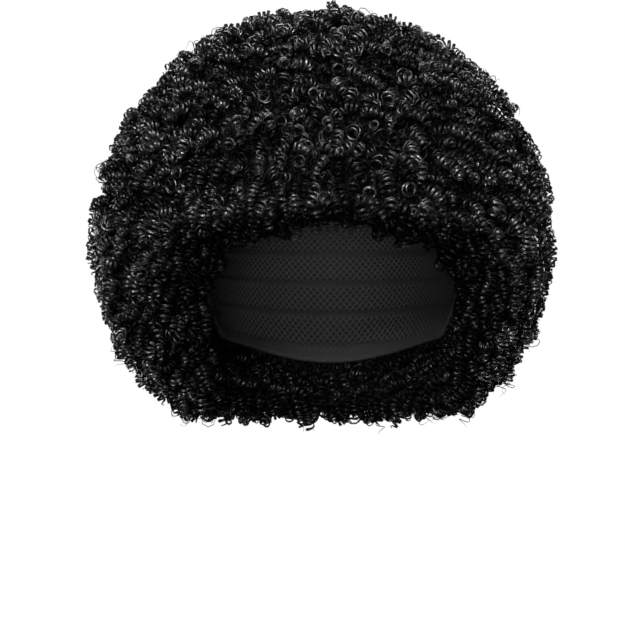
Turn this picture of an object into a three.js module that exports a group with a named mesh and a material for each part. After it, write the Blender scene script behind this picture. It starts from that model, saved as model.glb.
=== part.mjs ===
// A round disco wig: a stretch cap with six sewn sections of corkscrew hair.
// Millimetres, +Z up, face side towards -Y, left and right as the wearer has them.
// The origin is the top of the inside of the cap, where the crown of a head carries the wig.

import * as THREE from "three";

// The head that the cap fits
const headHalfWidth = 77;
const headHalfLength = 97;
const crownHeight = 100; // from the head's widest level up to the origin
const napeDepth = 125; // the same form below that level, closing in towards the neck
const capWall = 1.6;

// The ball of hair
const hairHalfWidth = 140;
const hairHalfLength = 145;
const hairHalfHeight = 141;
const hairRise = 66; // hair above the origin
const hairSideShift = -6; // the hair is fuller on the wearer's right
const hairBackShift = 5;

// The locks: depths are shares of the way from the cap to the outside of the hair
const valleyDepth = 0.7; // where neighbouring locks part
const shoulderRise = 0.74; // share of a lock's height
const shoulderInset = 0.26; // share of the way from a lock's foot to its middle
const lockLean = 4; // degrees that a level lock's tip hangs below its root
const tipWander = 0.3; // share of a lock's half width that its tip strays
const lengthWander = 0.18; // share of a lock's height that it is long or short
const hexagonJog = 1 / 6; // share of a row's height that turns its cells into hexagons
const rimDepths = [0.36, 0]; // rows of locks that turn under along a free edge
const rimHang = 7; // degrees that those locks hang past the edge
const wanderSeed = 7;

const seamGap = 0.6; // between sections, at the cap
const capGap = 1; // between the cap and the hair, so that their flats clear each other
const capColumns = 36;
const capRows = 12;

const degrees = Math.PI / 180;
const seamAngle = seamGap / 2 / headHalfWidth / degrees;

// All rays start at the heart, a point inside the head that sees every wall.
const heart = new THREE.Vector3(0, 0, -85);

const headForm = {
  centre: new THREE.Vector3(0, 0, -crownHeight),
  half: new THREE.Vector3(headHalfWidth, headHalfLength, crownHeight),
  halfBelow: napeDepth,
};
const hairForm = {
  centre: new THREE.Vector3(hairSideShift, hairBackShift, hairRise - hairHalfHeight),
  half: new THREE.Vector3(hairHalfWidth, hairHalfLength, hairHalfHeight),
  halfBelow: hairHalfHeight,
};

// Edges, from the middle of the brow (azimuth 0) round to the nape (180):
// polar is the angle down from the vertical at the heart, and tuck the share of the hair's depth
// that is lost at the edge, where the ball of hair rounds in.
const capEdge = [
  { azimuth: 0, polar: 75 },
  { azimuth: 45, polar: 82 },
  { azimuth: 70, polar: 106 },
  { azimuth: 95, polar: 101 },
  { azimuth: 125, polar: 122 },
  { azimuth: 180, polar: 126 },
];
const hairEdge = [
  { azimuth: 0, polar: 78, tuck: 0.2 },
  { azimuth: 40, polar: 82, tuck: 0.2 },
  { azimuth: 58, polar: 93, tuck: 0.25 },
  { azimuth: 74, polar: 118, tuck: 0.3 },
  { azimuth: 92, polar: 138, tuck: 0.36 },
  { azimuth: 180, polar: 138, tuck: 0.36 },
];
const tuckSpan = 20; // degrees above the edge over which the hair rounds in

// Sections of the hair: azimuths run from the brow towards the wearer's left, start and end are
// polar angles, and a section with no end runs to the hair's own edge.
const crownEnd = 31;
const backSplit = 90;
const sections = [
  { name: "crown_weft", from: 0, to: 360, start: 0, end: crownEnd, locks: 12, rows: 3 },
  { name: "fringe_weft", from: -50, to: 50, start: crownEnd, end: null, locks: 9, rows: 6 },
  { name: "left_side_weft", from: 50, to: 120, start: crownEnd, end: null, locks: 7, rows: 10 },
  { name: "right_side_weft", from: -120, to: -50, start: crownEnd, end: null, locks: 7, rows: 10 },
  { name: "upper_back_weft", from: 120, to: 240, start: crownEnd, end: backSplit, locks: 11, rows: 6 },
  { name: "nape_weft", from: 120, to: 240, start: backSplit, end: null, locks: 11, rows: 5 },
];

const hairMaterial = new THREE.MeshStandardMaterial({ color: 0x0c0c0d, roughness: 0.45, metalness: 0 });
const capMaterial = new THREE.MeshStandardMaterial({ color: 0x17171a, roughness: 0.9, metalness: 0 });

const { clamp, lerp, smoothstep, seededRandom } = THREE.MathUtils;

// A column of an edge's table at an azimuth, eased between its rows.
function edgeAt(table, azimuth, column = "polar") {
  const turned = Math.abs(((azimuth + 540) % 360) - 180);
  const next = Math.max(1, table.findIndex((row) => row.azimuth >= turned));
  const low = table[next - 1];
  const high = table[next];
  const share = (turned - low.azimuth) / (high.azimuth - low.azimuth);
  return lerp(low[column], high[column], smoothstep(share, 0, 1));
}

// The unit ray for an azimuth and a polar angle, in degrees.
function ray(azimuth, polar) {
  const across = Math.sin(polar * degrees);
  const x = across * Math.sin(azimuth * degrees);
  const y = -across * Math.cos(azimuth * degrees);
  return new THREE.Vector3(x, y, Math.cos(polar * degrees));
}

// How far along a ray from the heart a form lies: the far root of the ellipsoid's quadratic.
function reach(direction, form) {
  const hit = (halfHeight) => {
    const half = new THREE.Vector3(form.half.x, form.half.y, halfHeight);
    const start = heart.clone().sub(form.centre).divide(half);
    const step = direction.clone().divide(half);
    const mixed = start.dot(step);
    const square = step.lengthSq();
    return (-mixed + Math.sqrt(mixed * mixed - square * (start.lengthSq() - 1))) / square;
  };
  const above = hit(form.half.z);
  const below = heart.z + direction.z * above < form.centre.z;
  return below ? hit(form.halfBelow) : above;
}

// A point on the head form, moved outwards.
function headPoint(azimuth, polar, outwards) {
  const direction = ray(azimuth, polar);
  return heart.clone().addScaledVector(direction, reach(direction, headForm) + outwards);
}

// A point in the hair: a depth of 0 is just outside the cap and 1 the outside of the hair,
// which draws in towards a free edge by the square of the way there.
function hairPoint({ azimuth, polar, depth }) {
  const direction = ray(azimuth, polar);
  const inner = reach(direction, headForm) + capWall + capGap;
  const toEdge = clamp(1 - (edgeAt(hairEdge, azimuth) - polar) / tuckSpan, 0, 1);
  const full = 1 - edgeAt(hairEdge, azimuth, "tuck") * toEdge * toEdge;
  return heart.clone().addScaledVector(direction, lerp(inner, reach(direction, hairForm), depth * full));
}

// The next of a repeatable run of numbers from -1 to 1.
seededRandom(wanderSeed);
const wander = () => 2 * seededRandom() - 1;

// Collects points and triangles, with one index for each distinct point.
function meshBuilder() {
  const indexOf = new Map();
  const flat = [];
  const triangles = [];
  const vertex = (point) => {
    const key = point.toArray().map((x) => x.toFixed(3)).join();
    if (!indexOf.has(key)) {
      indexOf.set(key, indexOf.size);
      flat.push(...point.toArray());
    }
    return indexOf.get(key);
  };
  const triangle = (...points) => {
    const corners = points.map(vertex);
    if (new Set(corners).size === 3) triangles.push(...corners);
  };
  const quad = (a, b, c, d) => {
    triangle(a, b, c);
    triangle(a, c, d);
  };
  const mesh = (name, material) => {
    const geometry = new THREE.BufferGeometry();
    geometry.setAttribute("position", new THREE.Float32BufferAttribute(flat, 3));
    geometry.setIndex(triangles);
    geometry.computeVertexNormals();
    const made = new THREE.Mesh(geometry, material);
    made.name = name;
    return made;
  };
  return { triangle, quad, mesh };
}

// The cap: two faces a wall apart, joined by a rim along the edge.
function capMesh() {
  const { quad, mesh } = meshBuilder();
  const at = (column, row, outwards) => {
    const azimuth = ((column % capColumns) * 360) / capColumns;
    return headPoint(azimuth, (edgeAt(capEdge, azimuth) * row) / capRows, outwards);
  };
  for (let column = 0; column < capColumns; column++) {
    const next = column + 1;
    for (let row = 0; row < capRows; row++) {
      const corners = [[column, row], [column, row + 1], [next, row + 1], [next, row]];
      quad(...corners.map(([c, r]) => at(c, r, capWall)));
      quad(...corners.map(([c, r]) => at(c, r, 0)).reverse());
    }
    const edge = (c, outwards) => at(c, capRows, outwards);
    quad(edge(column, 0), edge(next, 0), edge(next, capWall), edge(column, capWall));
  }
  return mesh("cap", capMaterial);
}

// One sewn section: a backing over the cap, and a honeycomb of locks that rise from it.
// Its lattice has two columns to a lock, and every other row of locks is shifted by one column.
// Along a free edge the lattice turns under, so that locks hang from the rim as well.
function weftMesh({ name, from, to, start, end, locks, rows }) {
  const { triangle, quad, mesh } = meshBuilder();
  const whole = to - from === 360;
  const columns = 2 * locks;
  const inwards = end === null ? rimDepths : [];
  const top = start > 0 ? start + seamAngle : 0;
  const bottom = (azimuth) => (end === null ? edgeAt(hairEdge, azimuth) : end - seamAngle);
  const left = whole ? from : from + seamAngle;
  const right = whole ? to : to - seamAngle;

  const lattice = (column, row) => {
    const azimuth = lerp(left, right, column / columns);
    const onSkin = row > 0 && row < rows;
    const jog = onSkin ? hexagonJog * (1 - 2 * ((column + row) % 2)) : 0;
    const polar = lerp(top, bottom(azimuth), Math.min(row + jog, rows) / rows);
    return { azimuth, polar, depth: row > rows ? inwards[row - rows - 1] : valleyDepth };
  };

  const addLock = (first, last, row) => {
    const across = Array.from({ length: last - first + 1 }, (_, i) => first + i);
    const under = across.map((column) => lattice(column, row + 1));
    const over = across.map((column) => lattice(column, row));
    const foot = [...under, ...over.reverse()];
    const middle = (key) => {
      const values = foot.map((point) => point[key]);
      const high = Math.max(...values);
      const low = Math.min(...values);
      return (high + low + tipWander * wander() * (high - low)) / 2;
    };
    const onRim = row >= rows;
    const centre = { azimuth: middle("azimuth"), polar: middle("polar"), depth: middle("depth") };
    const lift = {
      azimuth: 0,
      polar: onRim ? rimHang : lockLean * Math.sin(centre.polar * degrees),
      depth: onRim ? 0 : 1 - valleyDepth,
    };
    const raised = (point, inset, share) => {
      const moved = (key) => lerp(point[key], centre[key], inset) + share * lift[key];
      return hairPoint({ azimuth: moved("azimuth"), polar: moved("polar"), depth: moved("depth") });
    };
    const valley = foot.map(hairPoint);
    const shoulder = foot.map((point) => raised(point, shoulderInset, shoulderRise));
    const tip = raised(centre, 0, 1 + lengthWander * wander());
    foot.forEach((_, i) => {
      const next = (i + 1) % foot.length;
      quad(valley[i], valley[next], shoulder[next], shoulder[i]);
      triangle(shoulder[i], shoulder[next], tip);
    });
  };

  for (let row = 0; row < rows + inwards.length; row++) {
    const shift = row % 2;
    if (shift && !whole) addLock(0, 1, row);
    for (let column = shift; column + 2 <= columns; column += 2) addLock(column, column + 2, row);
    if (shift) addLock(columns - 1, whole ? columns + 1 : columns, row);
  }

  // The inside face, and the plain walls along the seams, from the inside face out to the valleys.
  const inside = ([column, row], depth) => hairPoint({ ...lattice(column, row), depth });
  const levels = end === null ? [...rimDepths.toReversed(), valleyDepth] : [0, valleyDepth];
  const wall = (a, b) => {
    levels.slice(1).forEach((high, i) => {
      const low = levels[i];
      quad(inside(a, low), inside(b, low), inside(b, high), inside(a, high));
    });
  };
  for (let column = 0; column < columns; column++) {
    const next = column + 1;
    for (let row = 0; row < rows; row++) {
      const corners = [[column, row], [next, row], [next, row + 1], [column, row + 1]];
      quad(...corners.map((corner) => inside(corner, 0)));
    }
    if (start > 0) wall([next, 0], [column, 0]);
    if (end !== null) wall([column, rows], [next, rows]);
  }
  for (let row = 0; row < rows && !whole; row++) {
    wall([0, row], [0, row + 1]);
    wall([columns, row + 1], [columns, row]);
  }
  return mesh(name, hairMaterial);
}

const wig = new THREE.Group();
wig.name = "disco_wig";
wig.add(capMesh());
for (const section of sections) wig.add(weftMesh(section));

export default wig;
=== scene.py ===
# Black disco wig: corkscrew curls over a net cap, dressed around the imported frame.
# Shapes are worked out in millimetres and go into the meshes in metres.

import bpy
import numpy as np
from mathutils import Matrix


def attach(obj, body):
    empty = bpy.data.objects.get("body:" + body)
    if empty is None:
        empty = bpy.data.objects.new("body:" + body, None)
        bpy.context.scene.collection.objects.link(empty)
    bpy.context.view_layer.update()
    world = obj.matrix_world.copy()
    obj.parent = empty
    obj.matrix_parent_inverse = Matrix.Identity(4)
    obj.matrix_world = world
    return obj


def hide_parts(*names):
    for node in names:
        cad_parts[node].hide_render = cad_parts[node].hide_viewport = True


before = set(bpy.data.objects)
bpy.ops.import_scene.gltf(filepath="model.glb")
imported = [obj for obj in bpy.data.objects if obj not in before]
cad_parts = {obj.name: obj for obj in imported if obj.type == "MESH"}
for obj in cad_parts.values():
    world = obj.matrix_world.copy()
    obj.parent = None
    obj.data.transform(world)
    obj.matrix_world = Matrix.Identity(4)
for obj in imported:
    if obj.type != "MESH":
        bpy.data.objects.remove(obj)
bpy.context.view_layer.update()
print("frame loaded with", len(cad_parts), "nodes")

mm = 0.001

# the inside of the cap and the ball of hair round it, as ellipsoids seen from the heart
capForm = {"centre": (0, 0, -100), "half": (77, 97, 100), "halfBelow": 125}
hairForm = {"centre": (-6, 5, -75), "half": (140, 145, 141), "halfBelow": 141}
layers = {"heart": np.array([0.0, 0.0, -85.0]), "capWall": 1.6, "capGap": 1.0}

# edges as polar angles down from the vertical, by azimuth from the front (0) to the nape (180);
# tuck is the share of the hair's depth that is lost at the edge, where the ball rounds in
capEdge = {"azimuth": (0, 45, 70, 95, 125, 180), "polar": (75, 82, 106, 101, 122, 126)}
hairEdge = {"azimuth": (0, 40, 58, 74, 92, 180), "polar": (78, 82, 93, 118, 138, 138),
            "tuck": (0.2, 0.2, 0.25, 0.3, 0.36, 0.36)}
tuckSpan = 20  # degrees above the edge

# sections of hair: azimuths run from the front to the left as worn, and end None is the free edge
sections = {
    "crown_weft": {"from": 0, "to": 360, "start": 0, "end": 31, "locks": 12, "rows": 3},
    "fringe_weft": {"from": -50, "to": 50, "start": 31, "end": None, "locks": 9, "rows": 6},
    "left_side_weft": {"from": 50, "to": 120, "start": 31, "end": None, "locks": 7, "rows": 10},
    "right_side_weft": {"from": -120, "to": -50, "start": 31, "end": None, "locks": 7, "rows": 10},
    "upper_back_weft": {"from": 120, "to": 240, "start": 31, "end": 90, "locks": 11, "rows": 6},
    "nape_weft": {"from": 120, "to": 240, "start": 90, "end": None, "locks": 11, "rows": 5},
}
firstSeed = 11  # of the first section's hair, and the next number for each one after it


def unit(v):
    # vectors over their own lengths
    return v / np.maximum(np.linalg.norm(v, axis=-1, keepdims=True), 1e-9)


def rays(azimuth, polar):
    # unit vectors from the heart: the polar angle leans from straight up, the azimuth turns from the front
    a, p = np.radians(azimuth), np.radians(polar)
    return np.stack([np.sin(p) * np.sin(a), -np.sin(p) * np.cos(a), np.cos(p) + 0 * a], -1)


def reach(direction, form):
    # distance from the heart to an ellipsoid along each ray: the far root of its quadratic
    def hit(halfHeight):
        half = np.array([form["half"][0], form["half"][1], halfHeight], float)
        start = (layers["heart"] - np.array(form["centre"], float)) / half
        step = direction / half
        mixed = step @ start
        square = (step ** 2).sum(-1)
        return (-mixed + np.sqrt(mixed ** 2 - square * (start @ start - 1))) / square

    above = hit(form["half"][2])
    below = layers["heart"][2] + direction[..., 2] * above < form["centre"][2]
    return np.where(below, hit(form["halfBelow"]), above)


def edgeAt(table, azimuth, column="polar"):
    # a column of an edge's table, eased by a smooth step between its rows
    turned = np.abs((np.asarray(azimuth, float) + 540) % 360 - 180)
    at, value = np.array(table["azimuth"], float), np.array(table[column], float)
    n = np.clip(np.searchsorted(at, turned), 1, len(at) - 1)
    t = np.clip((turned - at[n - 1]) / (at[n] - at[n - 1]), 0, 1)
    return value[n - 1] + (value[n] - value[n - 1]) * t * t * (3 - 2 * t)


def hairPoints(azimuth, polar, depth):
    # a depth of 0 is just outside the cap and 1 the outside of the hair, which draws in
    # towards the free edge by the square of the way there
    direction = rays(azimuth, polar)
    inner = reach(direction, capForm) + layers["capWall"] + layers["capGap"]
    outer = reach(direction, hairForm)
    toEdge = np.clip(1 - (edgeAt(hairEdge, azimuth) - polar) / tuckSpan, 0, 1)
    full = 1 - edgeAt(hairEdge, azimuth, "tuck") * toEdge ** 2
    return layers["heart"] + direction * (inner + (outer - inner) * depth * full)[..., None]


def sectionBottom(section, azimuth):
    # polar angles where a section ends: the free edge, or one angle all along
    if section["end"] is None:
        return edgeAt(hairEdge, azimuth)
    return np.full(np.shape(azimuth), float(section["end"]))


def plainPart(points, quads, triangles, finish):
    # faces that carry no pattern, mark or shading normals of their own
    return {
        "points": points,
        "quads": quads,
        "triangles": triangles,
        "quadUv": np.zeros((len(quads), 4, 2)),
        "triangleUv": np.zeros((len(triangles), 3, 2)),
        "mark": np.zeros(len(points)),
        "normal": np.zeros((len(points), 3)),
        "finish": finish,
    }


def joinParts(parts):
    # several lots of points and faces as one, with the later faces' indices moved up
    shift = np.cumsum([0] + [len(p["points"]) for p in parts])[:-1]
    joined = {}
    for key in ("points", "quadUv", "triangleUv", "mark", "normal"):
        joined[key] = np.concatenate([p[key] for p in parts])
    finish = []
    for kind in ("quads", "triangles"):
        joined[kind] = np.concatenate([p[kind] + s for p, s in zip(parts, shift)])
        finish += [np.full(len(p[kind]), p["finish"]) for p in parts]
    joined["finish"] = np.concatenate(finish)
    return joined


def meshPiece(name, part, materials, markName):
    # arrays straight into a mesh: quads first, then triangles, all smooth
    mesh = bpy.data.meshes.new(name)
    corners = np.concatenate([part["quads"].ravel(), part["triangles"].ravel()]).astype(np.int32)
    sizes = np.repeat([4, 3], [len(part["quads"]), len(part["triangles"])])
    mesh.vertices.add(len(part["points"]))
    mesh.vertices.foreach_set("co", (part["points"] * mm).astype(np.float32).ravel())
    mesh.loops.add(len(corners))
    mesh.loops.foreach_set("vertex_index", corners)
    mesh.polygons.add(len(sizes))
    mesh.polygons.foreach_set("loop_start", (np.cumsum(sizes) - sizes).astype(np.int32))
    mesh.polygons.foreach_set("material_index", (part["finish"] + 0 * sizes).astype(np.int32))
    mesh.polygons.foreach_set("use_smooth", np.ones(len(sizes), bool))
    mesh.update(calc_edges=True)
    uv = np.concatenate([part["quadUv"].reshape(-1, 2), part["triangleUv"].reshape(-1, 2)])
    mesh.uv_layers.new(name="strand").data.foreach_set("uv", uv.astype(np.float32).ravel())
    mark = mesh.attributes.new(markName, "FLOAT", "POINT")
    mark.data.foreach_set("value", part["mark"].astype(np.float32))
    # shading normals of the mesh's own, but for the points that were given some
    normals = np.zeros(part["points"].size, np.float32)
    mesh.vertex_normals.foreach_get("vector", normals)
    normals = normals.reshape(-1, 3)
    given = part["normal"].any(1)
    normals[given] = part["normal"][given]
    mesh.normals_split_custom_set_from_vertices(normals)
    for material in materials:
        mesh.materials.append(material)
    piece = bpy.data.objects.new(name, mesh)
    bpy.context.scene.collection.objects.link(piece)
    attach(piece, "root")
    return piece


def turnedShell(grid, poles, finish):
    # profiles side by side right round the vertical: quads between neighbours and a fan to a pole
    # at each end
    columns, steps = grid.shape[:2]
    index = np.arange(columns * steps).reshape(columns, steps)
    beside = np.roll(index, -1, 0)
    quads = np.stack([index[:, :-1], index[:, 1:], beside[:, 1:], beside[:, :-1]], -1).reshape(-1, 4)
    pole = np.full(columns, columns * steps)
    fans = np.concatenate([np.stack([pole, index[:, 0], beside[:, 0]], -1),
                           np.stack([pole + 1, beside[:, -1], index[:, -1]], -1)])
    return plainPart(np.concatenate([grid.reshape(-1, 3), poles]), quads, fans, finish)


def blockShell(block, finish):
    # the skin of a block of points: quads over its six faces, and only the points that they use
    index = np.arange(block[..., 0].size).reshape(block.shape[:3])
    faces = (index[0].T, index[-1], index[:, 0], index[:, -1].T, index[:, :, 0].T, index[:, :, -1])
    corners = [np.stack([f[:-1, :-1], f[1:, :-1], f[1:, 1:], f[:-1, 1:]], -1).reshape(-1, 4) for f in faces]
    used, quads = np.unique(np.concatenate(corners), return_inverse=True)
    return plainPart(block.reshape(-1, 3)[used], quads.reshape(-1, 4), np.zeros((0, 3), int), finish)


finishes = {"curled": 0, "packed": 1}  # order of the materials on a section of hair

# the curls, in millimetres; pairs are the least and the most
curl = {
    "spacing": (6.3, 7.9),  # between roots, at the very top and from the foot of the crown down
    "crownFoot": 50,  # degrees
    "edgeSteps": 73,  # places where a section's lowest edge is looked for
    "ringSteps": 400,  # of polar angle, over which the rings of roots are counted
    "jitter": 0.3,  # share of a spacing that a root is moved by at most
    "edgeGap": 0.2,  # share of a spacing that roots keep from the section's lower edge
    "rise": 0.15,  # share of the hair's depth from root to tip
    "radius": (3.05, 0.75, 1.9, 5.0),  # mean, spread, least and most of the coil's middle line
    "lean": (5, 15),  # how far the tip droops sideways
    "leanScatter": 0.43,  # random part of the droop's direction, against one part downhill
    "leastTop": 4,  # least height of a tip over its root
    "bend": (0.5, 1.15),  # height of the bend against the tip's, upright and drooping
    "uprightShare": 0.24,  # curls that stand and show a ring
    "uprightLean": (1, 3),
    "uprightDip": 0.01,  # share of the hair's depth that they stay below the rest
    "uprightSwell": 1.2,  # they are wider than the rest
    "pitch": (2.1, 2.5),
    "turns": (2.5, 6.5),
    "samples": 41,
    "width": (1.6, 2.0),
    "height": 0.8,
    "crown": 48,  # degrees that the strand's shading turns to each side of square
    "taperSamples": 5,  # over which an end of the strand thins
    "taperLeast": 0.35,
    "tipClose": 0.5,  # share of the radius that is lost at the tip, so that an end shows a spiral
    "rootClose": 0.16,
    "tipDepth": 0.985,
    "tipWander": 0.07,  # tips stand up to this much further out or in, and the lowest get the least gloss and the darkest colour, as painted shade
    "valleyDip": 0.1,  # share of the hair's depth that the tips sink between locks
    "clumpPull": 0.1,  # share of the way that tips draw to the middle of their lock
    # the gloss mark sets the coat's weight and also darkens the base colour; its fall to roots, low curls
    # and the rim's inside is painted shade
    "glossAndShade": (0.05, 1.0),
    "glossPower": 1.7,  # above 1, more of the curls are dull
    "glossScatter": 0.25,
    "glossFull": 0.45,  # share of the strand from its root to where the gloss is full; nearer the root the strand is painted darker and duller, as painted shade
}
# how a coil's turning and radius swing along it: waves over its length, the share of each, waves of
# the radius to one of the turning, and by how many times its phase a coil's waves start later
uneven = {"waves": 2.3, "turn": 0.22, "radius": 0.14, "radiusWaves": 1.7, "shift": 7}


def helixStrands(path, radius, turns, phase, hand, width, height, samples, glossAndShade, tipClose):
    # a bent axis through three points and a circle carried along it for so many turns, uneven by sines
    # and closing in at both ends; on that circle runs a three-sided strand, a flat face outwards and a
    # keel to the axis, and the flat face's normals turn aside so that it shades as a rounded one
    s = np.linspace(0, 1, samples)
    first, middle, last = (p[:, None, :] for p in path)
    t = s[None, :, None]
    axis = (1 - t) ** 2 * first + 2 * t * (1 - t) * middle + t ** 2 * last
    along = unit((1 - t) * (middle - first) + t * (last - middle))
    side = unit(np.cross(middle - first, last - middle))
    up = np.cross(along, side)
    wobble = 2 * np.pi * uneven["waves"] * s + uneven["shift"] * phase[:, None]
    turned = turns[:, None] * (2 * np.pi * s + uneven["turn"] / uneven["waves"] * np.sin(wobble))
    angle = phase[:, None] + hand[:, None] * turned
    spoke = np.cos(angle)[..., None] * side + np.sin(angle)[..., None] * up
    toRoot, toTip = np.clip(1 - 2 * s, 0, 1), np.clip(2 * s - 1, 0, 1)
    swell = 1 - curl["rootClose"] * toRoot ** 4 - tipClose * toTip ** 2
    swell = swell * (1 + uneven["radius"] * np.cos(uneven["radiusWaves"] * wobble))
    line = axis + spoke * (radius[:, None] * swell)[..., None]
    toEnd = np.minimum(s, 1 - s) * samples / curl["taperSamples"]
    taper = np.clip(toEnd, curl["taperLeast"], 1)[None, :, None]
    across = along * (hand * width)[:, None, None] / 2 * taper
    rise = spoke * height / 2 * taper
    ring = np.stack([line + rise + across, line + rise - across, line - rise], 2)
    crown = np.radians(curl["crown"])
    level, aside = np.cos(crown) * spoke, np.sin(crown) * along * hand[:, None, None]
    normal = np.stack([level + aside, level - aside, -spoke], 2)
    count = len(radius)
    index = np.arange(count * samples * 3).reshape(count, samples, 3)
    beside = np.roll(index, -1, 2)
    quads = np.stack([index[:, :-1], beside[:, :-1], beside[:, 1:], index[:, 1:]], -1).reshape(-1, 4)
    ends = np.concatenate([index[:, 0, ::-1], index[:, -1]])
    length = 2 * np.pi * radius * turns
    u = (length[:, None] * s)[:, :, None] * np.ones(3)
    v = np.arange(3) / 3 + 0 * u
    flat = np.stack([u, v], -1)
    wrap = np.stack([u, v + 1 / 3], -1)
    quadUv = np.stack([flat[:, :-1], wrap[:, :-1], wrap[:, 1:], flat[:, 1:]], -2)
    # the mark is the curl's gloss, faded towards the root as painted shade
    glossWithRootShade = glossAndShade[:, None, None] * np.clip(s / curl["glossFull"], 0, 1)[None, :, None] * np.ones(3)
    return {
        "points": ring.reshape(-1, 3),
        "quads": quads,
        "triangles": ends,
        "quadUv": quadUv.reshape(-1, 4, 2),
        "triangleUv": flat.reshape(-1, 2)[ends],
        "mark": glossWithRootShade.ravel(),
        "normal": normal.reshape(-1, 3),
        "finish": finishes["curled"],
    }


clump = {"seed": 5, "jitter": 0.3, "steep": 1.9}  # the locks that curls gather in


def lockMiddles():
    # the locks' middles on the outside of the hair: a honeycomb over each section, jittered
    rng = np.random.default_rng(clump["seed"])
    middles = []
    for section in sections.values():
        row, lock = (g.ravel() for g in np.mgrid[0:section["rows"], 0:section["locks"]])
        shift = rng.uniform(-clump["jitter"], clump["jitter"], (2, len(row)))
        span = section["to"] - section["from"]
        azimuth = section["from"] + (lock + 0.5 * (row % 2) + 0.25 + shift[0]) * span / section["locks"]
        deep = sectionBottom(section, azimuth) - section["start"]
        polar = section["start"] + (row + 0.5 + shift[1]) * deep / section["rows"]
        middles.append(hairPoints(azimuth, polar, np.ones(len(row))))
    return np.concatenate(middles)


middles = lockMiddles()


def clumps(azimuth, polar):
    # the way to the nearest lock's middle, and how far inside that lock: 0 where two meet, 1 well inside
    place = hairPoints(azimuth, polar, np.ones(azimuth.shape))
    apart = np.linalg.norm(place[..., None, :] - middles, axis=-1)
    order = np.argsort(apart, -1)[..., :2]
    near, second = np.moveaxis(np.take_along_axis(apart, order, -1), -1, 0)
    inLock = np.clip(clump["steep"] * (second - near) / (second + near), 0, 1)
    return middles[order[..., 0]] - place, inLock


def jitter(rng, count):
    # even random shares of a spacing, either way
    return rng.uniform(-curl["jitter"], curl["jitter"], count)


def glossAndShadeOf(proud, ends):
    # from the dull end to the bright one by a power of how far out a curl stands: curls that sit lower are
    # painted darker and duller, as painted shade
    return np.interp(proud ** curl["glossPower"], (0, 1), ends)


def skinRoots(section, rng):
    # rings of roots a spacing apart, staggered and jittered, and cut off at the section's edge
    def degreesAt(p):
        return np.degrees(np.interp(p, (0, curl["crownFoot"]), curl["spacing"]) / hairForm["half"][0])

    span = section["to"] - section["from"]
    around = np.linspace(section["from"], section["to"], curl["edgeSteps"])
    fine = np.linspace(section["start"], sectionBottom(section, around).max(), curl["ringSteps"])
    passed = np.cumsum(np.gradient(fine) / degreesAt(fine))  # rings from the start to each angle
    rings = np.interp(np.arange(0.5, passed[-1]), passed, fine)
    counts = np.maximum(1, np.round(span * np.sin(np.radians(rings)) / degreesAt(rings))).astype(int)
    polar = np.repeat(rings, counts)
    step = degreesAt(polar)
    place = np.concatenate([(np.arange(n) + 0.25 + 0.5 * (i % 2)) / n for i, n in enumerate(counts)])
    size = np.repeat(span / counts, counts)
    azimuth = section["from"] + span * place + size * jitter(rng, len(polar))
    polar = polar + step * jitter(rng, len(polar))
    inside = (polar < sectionBottom(section, azimuth) - curl["edgeGap"] * step) & (polar > 0)
    if span < 360:
        inside &= (azimuth > section["from"]) & (azimuth < section["to"])
    azimuth, polar = azimuth[inside], polar[inside]
    count = len(polar)
    toMiddle, inLock = clumps(azimuth, polar)
    proud = rng.random(count)
    wander = curl["tipWander"] * (2 * proud - 1)
    upright = rng.random(count) < curl["uprightShare"]
    depth = curl["tipDepth"] - curl["valleyDip"] * (1 - inLock) ** 2 + wander - curl["uprightDip"] * upright
    root = hairPoints(azimuth, polar, depth - curl["rise"])
    tip = hairPoints(azimuth, polar, depth) + curl["clumpPull"] * toMiddle
    glossAndShade = glossAndShadeOf(proud, curl["glossAndShade"]) * (1 - curl["glossScatter"] * rng.random(count))
    standing, drooping = (rng.uniform(*curl[key], count) for key in ("uprightLean", "lean"))
    return root, tip, np.where(upright, standing, drooping), glossAndShade


rim = {
    "spacing": 6.5,
    "samples": 400,  # along a section's edge
    "rootLift": 1.5,  # degrees above the edge
    "turnOut": (0.4, 0.95),  # depths between which the curls turn from hanging to standing out
    "hang": (12, 9),  # of the innermost curls and the outermost
    "hangScatter": (0.8, 1.2),
    "lean": (4, 8),
    "glossAndShade": (0.1, 0.95),
    "paintedShadeInside": 0.25,  # share of the gloss that is left at the inside of the rim, where the darker colour and weaker coat are painted shade
    "centreHang": 0.55,  # the middle of the fringe is thinner
    "centreHalf": 16,  # degrees
}


def rimPoints(azimuth, depth):
    # points of the hair on its free edge
    return hairPoints(azimuth, edgeAt(hairEdge, azimuth), depth)


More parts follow.
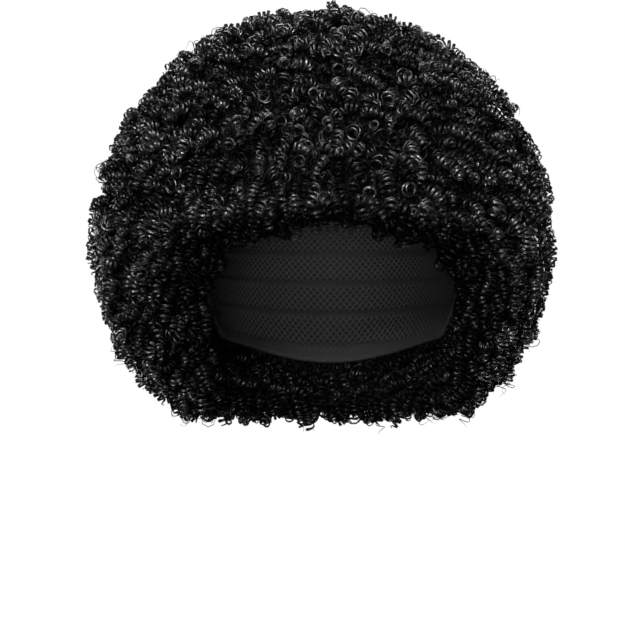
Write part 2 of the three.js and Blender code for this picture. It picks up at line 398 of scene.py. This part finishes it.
def rimRoots(section, rng):
    # rows of roots across the rim, a spacing apart both ways: inner curls hang square to the edge,
    # outer ones stand out
    azimuth = np.linspace(section["from"], section["to"], rim["samples"])
    thick = np.linalg.norm(rimPoints(azimuth, 1 + 0 * azimuth) - rimPoints(azimuth, 0 * azimuth), axis=1)
    rowsAt = np.round(thick / rim["spacing"])
    lots = []
    for row in range(int(rowsAt.max())):
        run = rimPoints(azimuth, (row + 0.5) / rowsAt)
        length = np.concatenate([[0], np.cumsum(np.linalg.norm(np.diff(run, axis=0), axis=1))])
        count = max(1, int(round(length[-1] / rim["spacing"])))
        wanted = (np.arange(count) + 0.5 + jitter(rng, count)) / count * length[-1]
        a = np.interp(wanted, length, azimuth)
        rows = np.round(np.interp(a, azimuth, rowsAt))
        a, rows = a[row < rows], rows[row < rows]
        depth = (row + 0.5 + jitter(rng, len(a))) / rows
        edge = edgeAt(hairEdge, a)
        root = hairPoints(a, edge - rim["rootLift"], depth)
        along = rimPoints(a + 1, depth) - rimPoints(a - 1, depth)
        out = unit(np.cross(along, rays(a, edge)))
        out *= np.sign((out * (hairPoints(a, edge + 1, depth) - root)).sum(-1))[:, None]
        turn = np.clip((depth - rim["turnOut"][0]) / np.ptp(rim["turnOut"]), 0, 1)[:, None]
        out = unit(out * (1 - turn) + rays(a, edge) * turn)
        thin = np.where(np.abs(a) < rim["centreHalf"], rim["centreHang"], 1.0)
        hang = np.interp(depth, (0, 1), rim["hang"]) * thin * rng.uniform(*rim["hangScatter"], len(a))
        tip = root + out * hang[:, None]
        glossAndShade = glossAndShadeOf(rng.random(len(a)), rim["glossAndShade"])
        # painted shade: the rim's inner curls keep less gloss and a darker colour
        glossAndShade *= np.interp(depth, rim["turnOut"], (rim["paintedShadeInside"], 1))
        lots.append((root, tip, rng.uniform(*rim["lean"], len(a)), glossAndShade))
    return [np.concatenate(column) for column in zip(*lots)]


lining = {  # hair that shows inside, below the cap's edge
    "depth": 0.1,
    "ease": 3,  # degrees below the cap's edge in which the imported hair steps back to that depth
    "rootIn": 0.01,
    "radius": 88,  # that turns the spacing into degrees
    "spacing": 6.6,
    "stretch": 1.1,  # of the spacing sideways
    "shift": (0.1, 0.9),  # shares of a spacing that a root moves sideways
    "top": 70,  # degrees, above every edge of the cap
    "margin": 1,  # degrees between the roots and either edge
}


def liningRoots(section, rng):
    # roots on the inner face between the cap's edge and the hair's; these curls lie inwards
    step = np.degrees(lining["spacing"] / lining["radius"])
    lowest, sideways = max(hairEdge["polar"]), step * lining["stretch"]
    grid = np.mgrid[lining["top"]:lowest:step, section["from"]:section["to"]:sideways]
    polar, azimuth = (g.ravel() for g in grid)
    polar = polar + step * jitter(rng, len(polar))
    azimuth = azimuth + step * rng.uniform(*lining["shift"], len(polar))
    shown = (polar > edgeAt(capEdge, azimuth) + lining["margin"]) & (azimuth < section["to"])
    shown &= polar < edgeAt(hairEdge, azimuth) - lining["margin"]
    azimuth, polar = azimuth[shown], polar[shown]
    root = hairPoints(azimuth, polar, np.full(len(polar), lining["depth"] + lining["rootIn"]))
    tip = hairPoints(azimuth, polar, np.zeros(len(polar)))
    # painted shade: lining curls keep only the inner rim's share of gloss and are darker
    glossAndShade = rng.uniform(*rim["glossAndShade"], len(root)) * rim["paintedShadeInside"]
    return root, tip, rng.uniform(*curl["lean"], len(root)), glossAndShade


def curlPaths(root, tip, lean, radius, rng):
    # up from the root, then over to one side: mostly downhill, partly anywhere
    rise = tip - root
    outward = unit(rise)
    down = np.array([0, 0, -1.0]) + outward * outward[:, 2:3]
    scatter = rng.normal(size=root.shape)
    scatter -= outward * (scatter * outward).sum(-1, keepdims=True)
    over = unit(down + curl["leanScatter"] * scatter)
    top = np.maximum(np.linalg.norm(rise, axis=1) - radius, curl["leastTop"])[:, None]
    bend = np.interp(lean, (curl["uprightLean"][0], curl["lean"][0]), curl["bend"])[:, None]
    return root, root + outward * top * bend, root + outward * top + over * lean[:, None]


def pathLength(path):
    # between a bent path's chord and its two legs, two to one
    first, middle, last = path
    chord = np.linalg.norm(last - first, axis=1)
    legs = np.linalg.norm(middle - first, axis=1) + np.linalg.norm(last - middle, axis=1)
    return (2 * chord + legs) / 3


under = {
    "depth": 0.74,  # share of the hair's depth, where two locks meet
    "swell": 0.15,  # as much further out well inside a lock
    "columnStep": 2.5,  # degrees
    "rowStep": 2.5,
    "levels": 8,
    "seam": 0.3,  # degrees below the section's start
}


def underShell(section):
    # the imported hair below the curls, as a block of columns round, rows down and levels in
    whole = section["to"] - section["from"] == 360
    columns = int(round((section["to"] - section["from"]) / under["columnStep"]))
    azimuth = section["from"] + np.arange(columns + (not whole)) * under["columnStep"]
    bottom = sectionBottom(section, azimuth)
    rows = int(round((bottom.max() - section["start"]) / under["rowStep"]))
    start = section["start"] + (under["rowStep"] if whole else under["seam"])
    polar = start + (bottom[:, None] - start) * np.linspace(0, 1, rows + 1)
    around = azimuth[:, None] + 0 * polar
    bare = np.clip((polar - edgeAt(capEdge, around)) / lining["ease"], 0, 1)
    inner = lining["depth"] * bare * bare * (3 - 2 * bare)
    outer = under["depth"] + under["swell"] * clumps(around, polar)[1]
    depth = outer[..., None] + (inner - outer)[..., None] * np.linspace(0, 1, under["levels"] + 1)
    block = hairPoints(around[..., None] + 0 * depth, polar[..., None] + 0 * depth, depth)
    if not whole:
        return blockShell(block, finishes["packed"])
    # down the outside, in along the rim and back up the inside
    skin = np.concatenate([block[:, :, 0], block[:, -1, 1:], block[:, -2::-1, -1]], 1)
    poles = hairPoints(np.zeros(2), np.zeros(2), np.array([outer[:, 0].mean(), 0]))
    return turnedShell(skin, poles, finishes["packed"])


hairline = {  # open ringlets that hang below the fringe
    "across": (-47, -34, -20, -9, -1, 8, 15, 27, 41),
    "bottom": (-83, -79, -77, -75, -75, -74, -73, -76, -81),
    "high": 9,
    "off": 5,  # from the cap's ellipsoid
    "bow": (0.3, -0.5),
    "tilt": 1.2,
    "radius": 3.3,
    "radiusScatter": (0.85, 1.1),
    "phase": (0, 6.28),
    "turns": 4.2,
    "samples": 40,
    "width": 0.8,
    "height": 0.5,
}


def hairlineRinglets(rng):
    # upright open coils a little off the front of the cap's ellipsoid
    x, z = np.array(hairline["across"], float), np.array(hairline["bottom"], float)
    half, centre = np.array(capForm["half"], float), capForm["centre"]
    y = -half[1] * np.sqrt(1 - (x / half[0]) ** 2 - ((z - centre[2]) / half[2]) ** 2) - hairline["off"]
    count, high = len(x), hairline["high"]
    top = np.stack([x, y, z + high], -1)
    tilt = rng.uniform(-hairline["tilt"], hairline["tilt"], (count, 3))
    path = (top, top + [*hairline["bow"], -high / 2], top + [0, 0, -high] + tilt)
    radius = hairline["radius"] * rng.uniform(*hairline["radiusScatter"], count)
    phase = rng.uniform(*hairline["phase"], count)
    hand = rng.choice([-1.0, 1.0], count)
    turns, width = np.full(count, hairline["turns"]), np.full(count, hairline["width"])
    return helixStrands(path, radius, turns, phase, hand, width, hairline["height"],
                        hairline["samples"], np.ones(count), 0)


# thin open loops that leave the ends of some curls
stray = {
    "share": 0.12,
    "radius": 1.1,  # against the curl's own
    "past": 4,
    "wander": 0.8,
    "turns": (1.6, 2.6),
    "samples": 21,
    "width": 0.5,
    "height": 0.4,
}


def hairParts(section, seed):
    # one section's packed hair, its curls and the strays on them
    rng = np.random.default_rng(seed)
    root, tip, lean, glossAndShade = skinRoots(section, rng)
    if section["end"] is None:
        groups = (root, tip, lean, glossAndShade), rimRoots(section, rng), liningRoots(section, rng)
        root, tip, lean, glossAndShade = (np.concatenate(column) for column in zip(*groups))
    count = len(root)
    mean, spread, least, most = curl["radius"]
    radius = np.clip(rng.normal(mean, spread, count), least, most)
    radius *= np.where(lean < curl["uprightLean"][1], curl["uprightSwell"], 1)
    path = curlPaths(root, tip, lean, radius, rng)
    turns = np.clip(pathLength(path) / rng.uniform(*curl["pitch"], count), *curl["turns"])
    phase = rng.uniform(0, 2 * np.pi, count)
    hand = rng.choice([-1.0, 1.0], count)
    width = rng.uniform(*curl["width"], count)
    coils = helixStrands(path, radius, turns, phase, hand, width, curl["height"],
                         curl["samples"], glossAndShade, curl["tipClose"])
    some = (rng.random(count) < stray["share"]) & (lean > curl["uprightLean"][1])
    loose = some.sum()
    middle, last = path[1][some], path[2][some]
    past = unit(unit(last - middle) + unit(tip - root)[some]) * stray["past"]
    strayPath = (middle, last, last + past + rng.normal(0, stray["wander"], last.shape))
    loopTurns, loopWidth = rng.uniform(*stray["turns"], loose), np.full(loose, stray["width"])
    loops = helixStrands(strayPath, radius[some] * stray["radius"], loopTurns, phase[some], hand[some],
                         loopWidth, stray["height"], stray["samples"], glossAndShade[some], 0)
    parts = [underShell(section), coils, loops]
    if section["from"] < 0 < section["to"]:
        parts.append(hairlineRinglets(rng))
    return joinParts(parts)


def addNode(tree, kind, values=None, **settings):
    # a node with its settings, and constants on its sockets
    node = tree.nodes.new(kind)
    for key, value in settings.items():
        setattr(node, key, value)
    for socket, value in (values or {}).items():
        node.inputs[socket].default_value = value
    return node


def feed(tree, socket, value):
    # a socket takes another node's output, or a constant
    if isinstance(value, bpy.types.NodeSocket):
        tree.links.new(value, socket)
    else:
        socket.default_value = value


def colourMix(tree, factor, low, high):
    # from the low colour to the high one by the factor
    mix = addNode(tree, "ShaderNodeMix", data_type="RGBA")
    feed(tree, mix.inputs["Factor"], factor)
    feed(tree, mix.inputs["A"], low)
    feed(tree, mix.inputs["B"], high)
    return mix.outputs["Result"]


def reckon(tree, operation, *values):
    # one step of arithmetic
    node = addNode(tree, "ShaderNodeMath", operation=operation)
    for socket, value in zip(node.inputs, values):
        feed(tree, socket, value)
    return node.outputs["Value"]


def between(tree, share, ends):
    # a share of 0 to 1 carried over to the way between two ends
    node = addNode(tree, "ShaderNodeMapRange", {"To Min": ends[0], "To Max": ends[1]})
    feed(tree, node.inputs["Value"], share)
    return node.outputs["Result"]


def raised(tree, height, finish):
    # the normal of a relief so high
    bump = addNode(tree, "ShaderNodeBump", {"Strength": finish["bump"], "Distance": finish["relief"]})
    feed(tree, bump.inputs["Height"], height)
    return bump.outputs["Normal"]


def fibreGroup():
    # long fine streaks that follow the strand, from noise squeezed across it
    group = bpy.data.node_groups.new("fibreStreaks", "ShaderNodeTree")
    group.interface.new_socket("Along", in_out="INPUT", socket_type="NodeSocketFloat")
    group.interface.new_socket("Across", in_out="INPUT", socket_type="NodeSocketFloat")
    group.interface.new_socket("Streak", in_out="OUTPUT", socket_type="NodeSocketFloat")
    start, end = addNode(group, "NodeGroupInput"), addNode(group, "NodeGroupOutput")
    uv = addNode(group, "ShaderNodeUVMap", uv_map="strand")
    scale = addNode(group, "ShaderNodeCombineXYZ")
    stretch = addNode(group, "ShaderNodeVectorMath", operation="MULTIPLY")
    noise = addNode(group, "ShaderNodeTexNoise", {"Scale": 1.0, "Detail": 2.0}, noise_dimensions="2D")
    group.links.new(start.outputs["Along"], scale.inputs["X"])
    group.links.new(start.outputs["Across"], scale.inputs["Y"])
    group.links.new(uv.outputs["UV"], stretch.inputs[0])
    group.links.new(scale.outputs["Vector"], stretch.inputs[1])
    group.links.new(stretch.outputs["Vector"], noise.inputs["Vector"])
    group.links.new(noise.outputs["Fac"], end.inputs["Streak"])
    return group


def driftGroup():
    # slow change of tone over the piece, from noise in its own space
    group = bpy.data.node_groups.new("toneDrift", "ShaderNodeTree")
    group.interface.new_socket("Scale", in_out="INPUT", socket_type="NodeSocketFloat")
    group.interface.new_socket("Drift", in_out="OUTPUT", socket_type="NodeSocketFloat")
    start, end = addNode(group, "NodeGroupInput"), addNode(group, "NodeGroupOutput")
    place = addNode(group, "ShaderNodeTexCoord")
    noise = addNode(group, "ShaderNodeTexNoise", {"Detail": 3.0, "Roughness": 0.6})
    group.links.new(place.outputs["Object"], noise.inputs["Vector"])
    group.links.new(start.outputs["Scale"], noise.inputs["Scale"])
    group.links.new(noise.outputs["Fac"], end.inputs["Drift"])
    return group


fibreStreaks, toneDrift = fibreGroup(), driftGroup()


def streaksOf(tree, scales):
    # the fibre streaks, at so many along and across
    values = {"Along": scales[0], "Across": scales[1]}
    return addNode(tree, "ShaderNodeGroup", values, node_tree=fibreStreaks).outputs["Streak"]


def driftOf(tree, scale):
    # the slow drift of tone, at so many to a metre
    return addNode(tree, "ShaderNodeGroup", {"Scale": scale}, node_tree=toneDrift).outputs["Drift"]


def newMaterial(name):
    # a material with its node tree and its one shader
    material = bpy.data.materials.new(name)
    material.use_nodes = True
    tree = material.node_tree
    return material, tree, tree.nodes["Principled BSDF"]


hairFinish = {
    # deep is a painted shade colour, used where the gloss mark falls; dark and light are the fibre's own
    # tone
    "deep": (0.001, 0.001, 0.0012, 1),
    "dark": (0.0032, 0.0032, 0.0036, 1),
    "light": (0.01, 0.01, 0.011, 1),
    "rough": (0.3, 0.5),
    "specular": 0.02,  # of the bare fibre; its gloss is a coat that fades towards the root, where the base colour also falls to deep as painted shade
    "coatRough": 0.28,
    "coatIor": 2.4,
    "drift": 90.0,
    "streaks": (0.12, 12.0),  # to a millimetre along the strand, and once round it
    "streakHeight": 0.4,  # against a fibre's
    "bundle": 2,  # fibres side by side on each face of a strand
    "bump": 1.0,
    "relief": 0.0004,
}


def hairMaterial():
    # near-black fibre with fine streaks along the strand, and a gloss that fades towards the root; where it
    # fades, the base colour is painted darker as painted shade; each face of a strand is grooved into
    # fibres by the size of a sine across it
    material, tree, skin = newMaterial("curledHair")
    skin.inputs["Specular IOR Level"].default_value = hairFinish["specular"]
    skin.inputs["Coat Roughness"].default_value = hairFinish["coatRough"]
    skin.inputs["Coat IOR"].default_value = hairFinish["coatIor"]
    streak, drift = streaksOf(tree, hairFinish["streaks"]), driftOf(tree, hairFinish["drift"])
    glossAndShade = addNode(tree, "ShaderNodeAttribute", attribute_name="glossAndShade").outputs["Fac"]
    tone = colourMix(tree, drift, hairFinish["dark"], hairFinish["light"])
    # painted shade: where the gloss mark is low, the base colour falls from the fibre's tone to deep
    tree.links.new(colourMix(tree, glossAndShade, hairFinish["deep"], tone), skin.inputs["Base Color"])
    tree.links.new(glossAndShade, skin.inputs["Coat Weight"])
    tree.links.new(between(tree, streak, hairFinish["rough"]), skin.inputs["Roughness"])
    uv = addNode(tree, "ShaderNodeUVMap", uv_map="strand")
    apart = addNode(tree, "ShaderNodeSeparateXYZ")
    tree.links.new(uv.outputs["UV"], apart.inputs["Vector"])
    turn = reckon(tree, "MULTIPLY", apart.outputs["Y"], 3 * np.pi * hairFinish["bundle"])
    fibre = reckon(tree, "ABSOLUTE", reckon(tree, "SINE", turn))
    height = reckon(tree, "MULTIPLY_ADD", streak, hairFinish["streakHeight"], fibre)
    normal = raised(tree, height, hairFinish)
    tree.links.new(normal, skin.inputs["Normal"])
    tree.links.new(normal, skin.inputs["Coat Normal"])
    return material


packedFinish = {
    # the two colours paint the rings' troughs darker and their crests lighter, and all of it darker than
    # the outer curls, as painted shade deep in the hair
    "deep": (0.001, 0.001, 0.0012, 1),
    "litCrest": (0.006, 0.006, 0.0067, 1),
    "cell": 145.0,  # ringlets to a metre
    "rings": 17.0,  # turns of the wave over one ringlet, in radians
    "rough": (0.25, 0.45),
    "specular": 0.05,
    "drift": 90.0,
    "bump": 1.0,
    "relief": 0.0012,
}


def packedMaterial():
    # the curls further in, as rings round the middles of scattered cells: a sine of the distance
    # to the middle, which also paints the crests lighter and the troughs darker, as painted light and shade
    material, tree, skin = newMaterial("packedHair")
    skin.inputs["Specular IOR Level"].default_value = packedFinish["specular"]
    place = addNode(tree, "ShaderNodeTexCoord")
    cells = addNode(tree, "ShaderNodeTexVoronoi", {"Scale": packedFinish["cell"]})
    tree.links.new(place.outputs["Object"], cells.inputs["Vector"])
    ring = reckon(tree, "SINE", reckon(tree, "MULTIPLY", cells.outputs["Distance"], packedFinish["rings"]))
    # painted light and shade: crests lighter, troughs darker, following the bump
    tone = colourMix(tree, ring, packedFinish["deep"], packedFinish["litCrest"])
    tree.links.new(tone, skin.inputs["Base Color"])
    rough = between(tree, driftOf(tree, packedFinish["drift"]), packedFinish["rough"])
    tree.links.new(rough, skin.inputs["Roughness"])
    tree.links.new(raised(tree, ring, packedFinish), skin.inputs["Normal"])
    return material


hairMaterials = [hairMaterial(), packedMaterial()]
print("hair materials ready")

hairTriangles = 0
for number, (name, section) in enumerate(sections.items()):
    part = hairParts(section, firstSeed + number)
    piece = meshPiece("curls_" + name.replace("_weft", ""), part, hairMaterials, "glossAndShade")
    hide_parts(name)
    triangles = 2 * len(part["quads"]) + len(part["triangles"])
    hairTriangles += triangles
    print(piece.name, triangles, "triangles")
print("hair in all", hairTriangles, "triangles")

cap = {
    "columns": 120,
    "outerRows": 24,
    "innerRows": 150,
    "radius": 95,  # that turns degrees into lengths
    "tapeStep": 11,  # degrees
    "tapeHalf": 2.2,
    "tapeHeight": 1.0,
    "hemHalf": 7,
    "hemSwell": 1.0,
    "hemOut": 0.4,  # share of the swell that shows on the outside
    "patternDeep": 120,  # degrees that the pattern's height stands for
}


def capPart():
    # a profile from the top of the outside, round the hem and back up the inside, turned about the
    # vertical; raised tapes ring the inside where the hair is sewn on
    azimuth = np.arange(cap["columns"]) * 360 / cap["columns"]
    edge = edgeAt(capEdge, azimuth)
    outside, back = np.linspace(0, 1, cap["outerRows"])[1:], np.linspace(1, 0, cap["innerRows"])[:-1]
    share = np.concatenate([outside, back])
    inside = np.arange(len(share)) >= len(outside)
    polar = edge[:, None] * share
    length = np.radians(1) * cap["radius"]  # of one degree
    hem = np.clip(1 - ((edge[:, None] - polar) * length / cap["hemHalf"]) ** 4, 0, 1)
    toTape = np.abs((polar + cap["tapeStep"] / 2) % cap["tapeStep"] - cap["tapeStep"] / 2) * length
    tape = np.clip(1 - (toTape / cap["tapeHalf"]) ** 4, 0, 1) * (polar > cap["tapeStep"] / 2)
    proud = np.maximum(cap["tapeHeight"] * tape, cap["hemSwell"] * hem)
    lift = np.where(inside, -proud, layers["capWall"] + cap["hemOut"] * cap["hemSwell"] * hem)
    direction = rays(azimuth[:, None] + 0 * polar, polar)
    grid = layers["heart"] + direction * (reach(direction, capForm) + lift)[..., None]
    upward = np.array([0, 0, 1.0])
    top = layers["heart"] + upward * reach(upward, capForm)
    part = turnedShell(grid, np.stack([top + upward * layers["capWall"], top]), 0)
    along, down = np.append(azimuth, 360) * length, share * cap["patternDeep"] * length
    uv = np.stack(np.meshgrid(along, down, indexing="ij"), -1)
    part["quadUv"] = np.stack([uv[:-1, :-1], uv[:-1, 1:], uv[1:, 1:], uv[1:, :-1]], 2).reshape(-1, 4, 2)
    part["triangleUv"] = np.concatenate([np.stack([uv[:-1, 0] * [1, 0], uv[:-1, 0], uv[1:, 0]], 1),
                                         np.stack([uv[:-1, -1] * [1, 0], uv[1:, -1], uv[:-1, -1]], 1)])
    part["mark"] = np.append(np.where(inside, np.maximum(tape, hem), hem).ravel(), [0, 0])
    return part


netFinish = {
    "hole": (0.004, 0.004, 0.0044, 1),
    "thread": (0.042, 0.042, 0.0455, 1),
    "tape": (0.029, 0.029, 0.0314, 1),
    "specular": 0.4,
    "rough": (0.6, 0.9),
    "drift": 60.0,
    "cell": 0.11,  # scale of the threads' waves, over millimetres
    "diagonal": 0.785,  # radians to each side
    "threadPower": 3.0,  # the higher, the thinner the threads
    "tapeThreads": (0.5, 2.4),  # to a millimetre, along the tape and across it
    "bump": 0.8,
    "relief": 0.0006,
}


def netMaterial():
    # a knitted net: two diagonal sets of threads, raised where they run; tapes and hem are closer
    # and stitched
    material, tree, skin = newMaterial("capNet")
    skin.inputs["Specular IOR Level"].default_value = netFinish["specular"]
    place = addNode(tree, "ShaderNodeUVMap", uv_map="strand")

    def threads(turn):
        mapping = addNode(tree, "ShaderNodeMapping", {"Rotation": (0, 0, turn)})
        wave = addNode(tree, "ShaderNodeTexWave", {"Scale": netFinish["cell"], "Distortion": 0.0})
        tree.links.new(place.outputs["UV"], mapping.inputs["Vector"])
        tree.links.new(mapping.outputs["Vector"], wave.inputs["Vector"])
        return wave.outputs["Fac"]

    knit = reckon(tree, "MAXIMUM", threads(netFinish["diagonal"]), threads(-netFinish["diagonal"]))
    thread = reckon(tree, "POWER", knit, netFinish["threadPower"])
    stitch = streaksOf(tree, netFinish["tapeThreads"])
    onTape = addNode(tree, "ShaderNodeAttribute", attribute_name="tape").outputs["Fac"]
    net = colourMix(tree, thread, netFinish["hole"], netFinish["thread"])
    sewn = colourMix(tree, stitch, netFinish["hole"], netFinish["tape"])
    tree.links.new(colourMix(tree, onTape, net, sewn), skin.inputs["Base Color"])
    height = addNode(tree, "ShaderNodeMix", data_type="FLOAT")
    tree.links.new(onTape, height.inputs["Factor"])
    tree.links.new(thread, height.inputs["A"])
    tree.links.new(stitch, height.inputs["B"])
    tree.links.new(raised(tree, height.outputs["Result"], netFinish), skin.inputs["Normal"])
    rough = between(tree, driftOf(tree, netFinish["drift"]), netFinish["rough"])
    tree.links.new(rough, skin.inputs["Roughness"])
    return material


capPiece = meshPiece("net_cap", capPart(), [netMaterial()], "tape")
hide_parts("cap")
print("cap", len(capPiece.data.polygons), "faces")

stage = {
    "floorDrop": -2.8,
    "floorHalf": 30.0,
    "paint": (0.93, 0.93, 0.93, 1),
    "rough": 0.9,
    "white": (1, 1, 1, 1),
    "glow": 0.4,
    "sky": 1.0,  # as the camera sees it
    "fill": 0.008,  # of the sky's light on the hair
}


def makeStage():
    # a wide pale floor far below, and a white sky that lights the hair only a little
    h, z = stage["floorHalf"], stage["floorDrop"]
    mesh = bpy.data.meshes.new("floor")
    mesh.from_pydata([(-h, -h, z), (h, -h, z), (h, h, z), (-h, h, z)], [], [(0, 1, 2, 3)])
    material, tree, skin = newMaterial("paleFloor")
    skin.inputs["Base Color"].default_value = stage["paint"]
    skin.inputs["Emission Color"].default_value = stage["white"]
    skin.inputs["Emission Strength"].default_value = stage["glow"]
    skin.inputs["Roughness"].default_value = stage["rough"]
    mesh.materials.append(material)
    floor = bpy.data.objects.new("floor", mesh)
    bpy.context.scene.collection.objects.link(floor)
    floor.visible_diffuse = False  # no bounce off the floor into the hair
    floor.visible_glossy = False
    floor.visible_shadow = False  # the low lamp shines from beneath it
    world = bpy.data.worlds.new("studio")
    bpy.context.scene.world = world
    world.use_nodes = True
    tree = world.node_tree
    soft = tree.nodes["Background"]
    soft.inputs["Strength"].default_value = stage["fill"]
    soft.inputs["Color"].default_value = stage["white"]
    seen = addNode(tree, "ShaderNodeBackground", {"Color": stage["white"], "Strength": stage["sky"]})
    rayKind = addNode(tree, "ShaderNodeLightPath")
    mix = addNode(tree, "ShaderNodeMixShader")
    tree.links.new(rayKind.outputs["Is Camera Ray"], mix.inputs["Fac"])
    tree.links.new(soft.outputs["Background"], mix.inputs[1])
    tree.links.new(seen.outputs["Background"], mix.inputs[2])
    tree.links.new(mix.outputs["Shader"], tree.nodes["World Output"].inputs["Surface"])


lamps = {
    "keyLamp": {"from": (-0.7, -2.2, 1.3), "strength": 1.6, "angle": 12},
    "fillLamp": {"from": (1.1, -2.2, 1.2), "strength": 0.6, "angle": 12},
    "frontLamp": {"from": (-0.5, -2.2, 0.9), "strength": 4.2, "angle": 12},
    "browLamp": {"from": (-0.2, -2.5, -0.1), "strength": 1.3, "angle": 12},
    "backLeftLamp": {"from": (-0.6, 2.5, 0.3), "strength": 2.7, "angle": 40},
    "backRightLamp": {"from": (0.7, 2.5, 0.4), "strength": 2.7, "angle": 40},
    "leftLamp": {"from": (-2.5, 0.9, 0.4), "strength": 0.3, "angle": 40},
    "rightLamp": {"from": (2.5, 0.9, 0.4), "strength": 0.3, "angle": 40},
    "lowLamp": {"from": (0.4, -1.6, -2.0), "strength": 0.55, "angle": 30},
}


def makeLamps():
    # broad distant lamps, each turned towards the origin
    for name, lamp in lamps.items():
        light = bpy.data.lights.new(name, "SUN")
        light.energy = lamp["strength"]
        light.angle = np.radians(lamp["angle"])
        holder = bpy.data.objects.new(name, light)
        holder.location = lamp["from"]
        holder.rotation_mode = "QUATERNION"
        holder.rotation_quaternion = holder.location.to_track_quat("Z", "Y")
        bpy.context.scene.collection.objects.link(holder)


view = {"place": (-0.0117, -1.895, -0.1185), "lens": 182, "sensor": 36, "far": 200}


def makeCamera():
    # straight on from the front, level, with a long lens
    lens = bpy.data.cameras.new("camera")
    lens.lens, lens.sensor_width = view["lens"], view["sensor"]
    lens.clip_end = view["far"]
    holder = bpy.data.objects.new("camera", lens)
    holder.location = view["place"]
    holder.rotation_euler = (np.pi / 2, 0, 0)
    bpy.context.scene.collection.objects.link(holder)
    bpy.context.scene.camera = holder
    bpy.context.scene.view_settings.view_transform = "Standard"


makeStage()
makeLamps()
makeCamera()
print("stage, lamps and camera ready")
